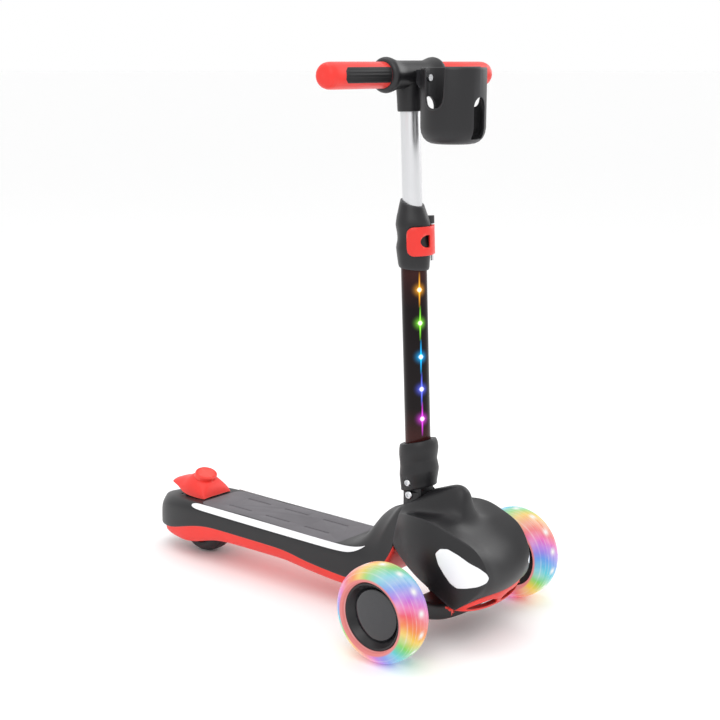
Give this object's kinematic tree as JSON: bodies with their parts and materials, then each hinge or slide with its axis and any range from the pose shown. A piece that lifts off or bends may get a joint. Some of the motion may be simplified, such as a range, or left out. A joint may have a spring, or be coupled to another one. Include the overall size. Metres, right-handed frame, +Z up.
{
  "type": "kick scooter",
  "caption": "Child's lean-to-steer kick scooter: low deck, twin front wheels on a tilting truck, rear wheel under a foot brake, folding telescopic stem, T-bar and cup holder.",
  "frame": {"origin": "centre of the footprint, on the ground", "axes": "+Z up, travel towards -Y, +X towards the rider's left"},
  "size_m": [0.324, 0.612, 0.7006],
  "materials": {
    "black_shell": "moulded, satin, fine grain",
    "red_shell": "moulded, satin",
    "deck_mat": "soft-touch, matt, grooved",
    "white_trim": "satin",
    "lamp_lens": "smooth, satin",
    "steel": "zinc plated",
    "dark_rubber": "matt",
    "light_tyre": "translucent polyurethane, lit in rainbow colours",
    "wheel_hub": "satin",
    "wheel_cap": "polished",
    "smoked_tube": "smoked, glossy, see-through where lit",
    "light_strip": "lit lamps in a clear strip",
    "aluminium": "satin anodised",
    "grip_red": "satin",
    "grip_black": "ribbed, matt"
  },
  "bodies": {
    "deck": {"deck_top_shell": "black_shell", "deck_lower_shell": "red_shell", "deck_mat": "deck_mat", "side_strip_left": "white_trim", "side_strip_right": "white_trim", "front_cowl": "black_shell", "headlight_left": "lamp_lens", "headlight_right": "lamp_lens", "front_grille": "red_shell", "front_frame": "red_shell", "kingpin_bolt": "steel", "kingpin_nut": "steel", "fold_clevis": "black_shell", "fold_pivot_bolt": "steel", "fold_pivot_nut": "steel", "rear_axle_bolt": "steel", "rear_axle_nut": "steel", "brake_pin": "steel", "brake_spring": "steel"},
    "front_truck": {"axle_beam": "black_shell", "steering_bush": "dark_rubber", "left_wheel_axle_bolt": "steel", "right_wheel_axle_bolt": "steel"},
    "left_wheel": {"left_wheel_tyre": "light_tyre", "left_wheel_hub": "wheel_hub", "left_wheel_cap": "wheel_cap", "left_wheel_bearing_inner": "steel", "left_wheel_bearing_outer": "steel"},
    "right_wheel": {"right_wheel_tyre": "light_tyre", "right_wheel_hub": "wheel_hub", "right_wheel_cap": "wheel_cap", "right_wheel_bearing_inner": "steel", "right_wheel_bearing_outer": "steel"},
    "rear_wheel": {"rear_tyre": "dark_rubber", "rear_hub": "wheel_hub", "rear_bearing_left": "steel", "rear_bearing_right": "steel"},
    "brake": {"brake_pedal": "red_shell", "brake_shoe": "dark_rubber"},
    "stem": {"lower_tube": "smoked_tube", "stem_foot": "black_shell", "led_strip": "light_strip", "clamp_collar": "black_shell", "lever_pin": "steel", "clamp_bush": "dark_rubber"},
    "lock_collar": {"lock_collar": "black_shell", "collar_screw": "steel"},
    "clamp_lever": {"clamp_lever": "red_shell"},
    "handlebar": {"upper_tube": "aluminium", "slide_bush": "dark_rubber", "t_coupling": "black_shell", "bar_core": "aluminium", "left_grip": "grip_red", "right_grip": "grip_red", "left_inlay_front": "grip_black", "left_inlay_rear": "grip_black", "right_inlay_front": "grip_black", "right_inlay_rear": "grip_black", "cup_holder": "black_shell", "cup_screw": "steel"}
  },
  "joints": [
    {"name": "truck_steer", "type": "hinge", "parent": "deck", "child": "front_truck", "pos_m": [0, -0.211, 0.062], "axis": [0, -0.6428, 0.766], "range_deg": [-12, 12], "stiffness_Nm_per_rad": 60},
    {"name": "left_wheel_spin", "type": "hinge", "parent": "front_truck", "child": "left_wheel", "pos_m": [-0.138, -0.219, 0.06], "axis": [1, 0, 0], "continuous": true},
    {"name": "right_wheel_spin", "type": "hinge", "parent": "front_truck", "child": "right_wheel", "pos_m": [0.138, -0.219, 0.06], "axis": [1, 0, 0], "continuous": true},
    {"name": "rear_wheel_spin", "type": "hinge", "parent": "deck", "child": "rear_wheel", "pos_m": [0, 0.223, 0.041], "axis": [1, 0, 0], "continuous": true},
    {"name": "brake_press", "type": "hinge", "parent": "deck", "child": "brake", "pos_m": [0, 0.213, 0.088], "axis": [-1, 0, 0], "range_deg": [0, 5], "stiffness_Nm_per_rad": 5, "springref_deg": -3.44},
    {"name": "stem_fold", "type": "hinge", "parent": "deck", "child": "stem", "pos_m": [0, -0.1647, 0.165], "axis": [-1, 0, 0], "range_deg": [0, 84]},
    {"name": "collar_lift", "type": "slide", "parent": "stem", "child": "lock_collar", "axis": [0, 0.0396, 0.9992], "range_m": [0, 0.015]},
    {"name": "lever_open", "type": "hinge", "parent": "stem", "child": "clamp_lever", "pos_m": [0.02172, -0.16369, 0.48221], "axis": [0, 0.0396, 0.9992], "range_deg": [0, 105]},
    {"name": "height_slide", "type": "slide", "parent": "stem", "child": "handlebar", "axis": [0, 0.0396, 0.9992], "range_m": [-0.065, 0.06]}
  ],
  "couplings": [
    {"joint": "collar_lift", "follows": "stem_fold", "m_per_rad": 0.0102}
  ]
}
